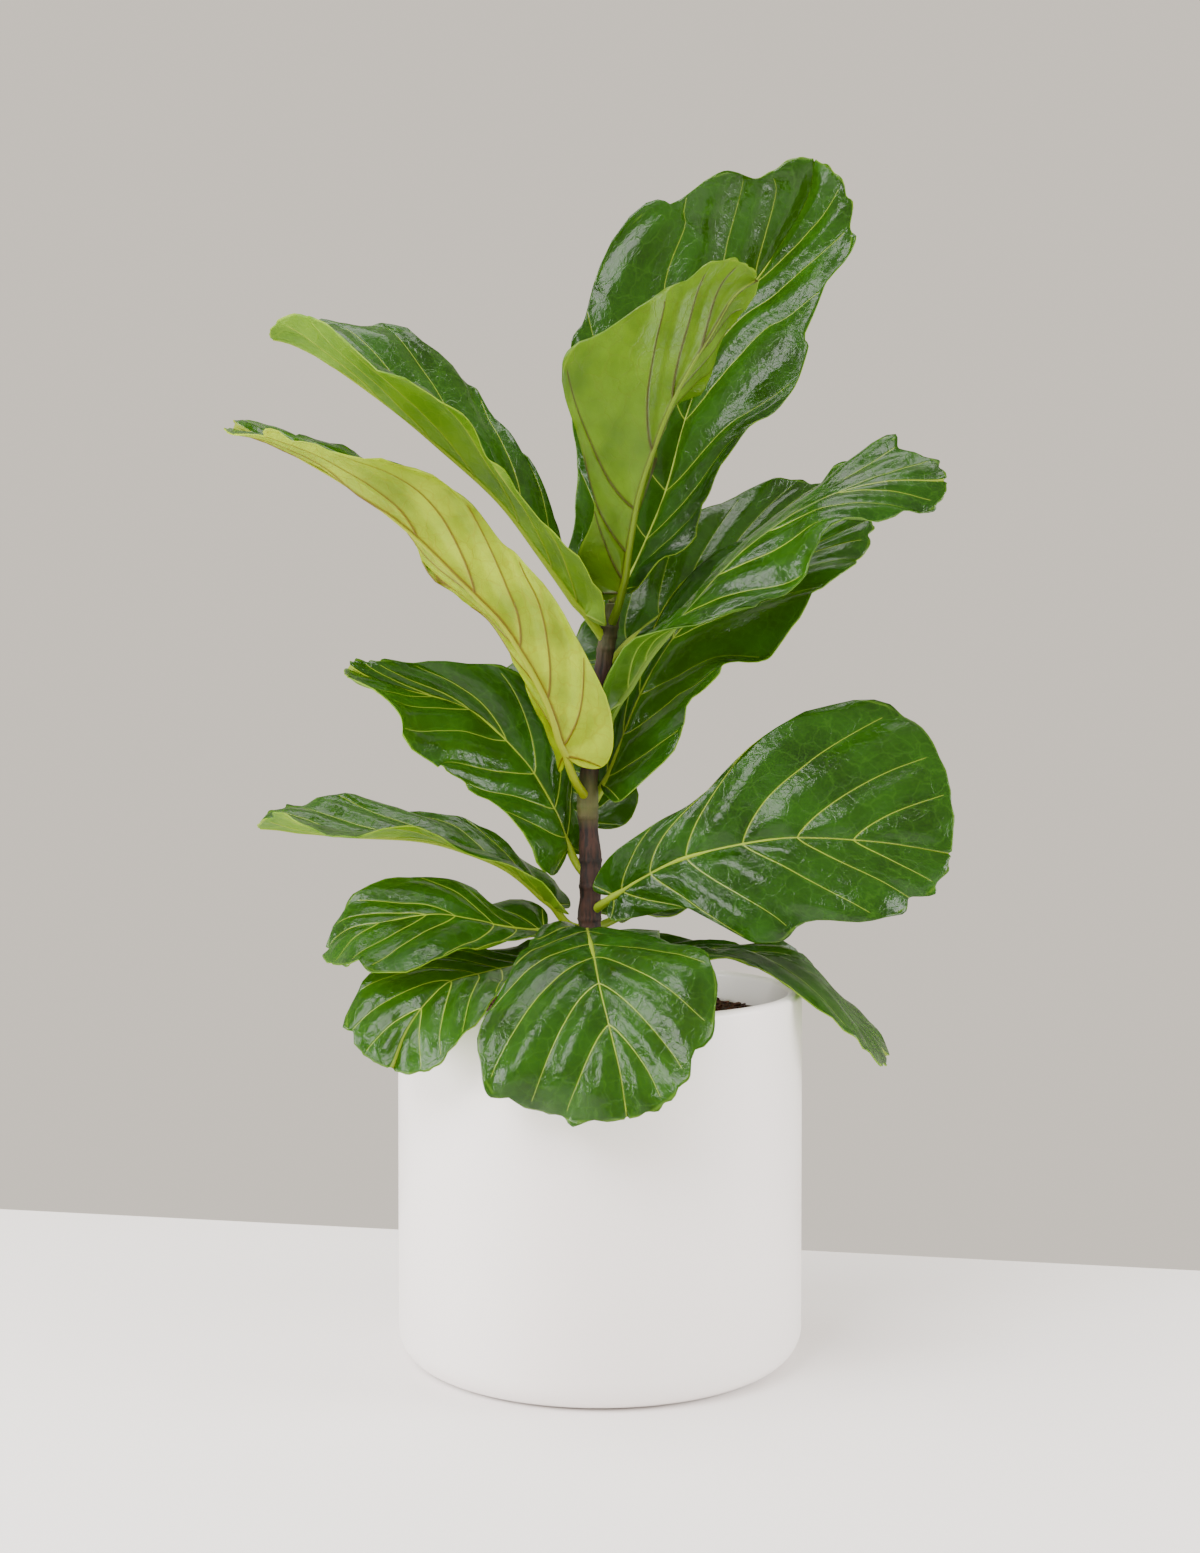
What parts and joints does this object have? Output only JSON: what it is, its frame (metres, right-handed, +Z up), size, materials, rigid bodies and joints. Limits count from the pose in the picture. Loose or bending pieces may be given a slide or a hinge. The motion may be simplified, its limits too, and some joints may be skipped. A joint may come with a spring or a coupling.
{
  "type": "potted fiddle leaf fig",
  "caption": "Fiddle leaf fig with broad waisted leaves on one woody trunk, planted in potting soil in a plain white cylindrical planter.",
  "frame": {"origin": "centre of the planter's flat base", "axes": "+Z up along the planter's axis, the front towards -Y, +X to the right as seen from the front"},
  "size_m": [0.4489, 0.3175, 0.7829],
  "materials": {
    "planter_glaze": "satin white glaze",
    "potting_soil": "loose bark and peat",
    "bark": "rough bark",
    "leaf": "waxy",
    "bud": "satin"
  },
  "bodies": {
    "root": {"pot": "planter_glaze", "soil": "potting_soil", "trunk": "bark", "leaf_top_rear": "leaf", "leaf_top_front": "leaf", "leaf_left_upper": "leaf", "leaf_left_bright": "leaf", "leaf_left_middle": "leaf", "leaf_rear": "leaf", "leaf_right_middle": "leaf", "leaf_right_upper": "leaf", "leaf_right_back": "leaf", "leaf_right_glossy": "leaf", "leaf_right_under": "leaf", "leaf_right_low": "leaf", "leaf_front": "leaf", "leaf_left_low": "leaf", "leaf_left_front": "leaf", "leaf_left_flat": "leaf", "terminal_bud": "bud"}
  },
  "joints": []
}
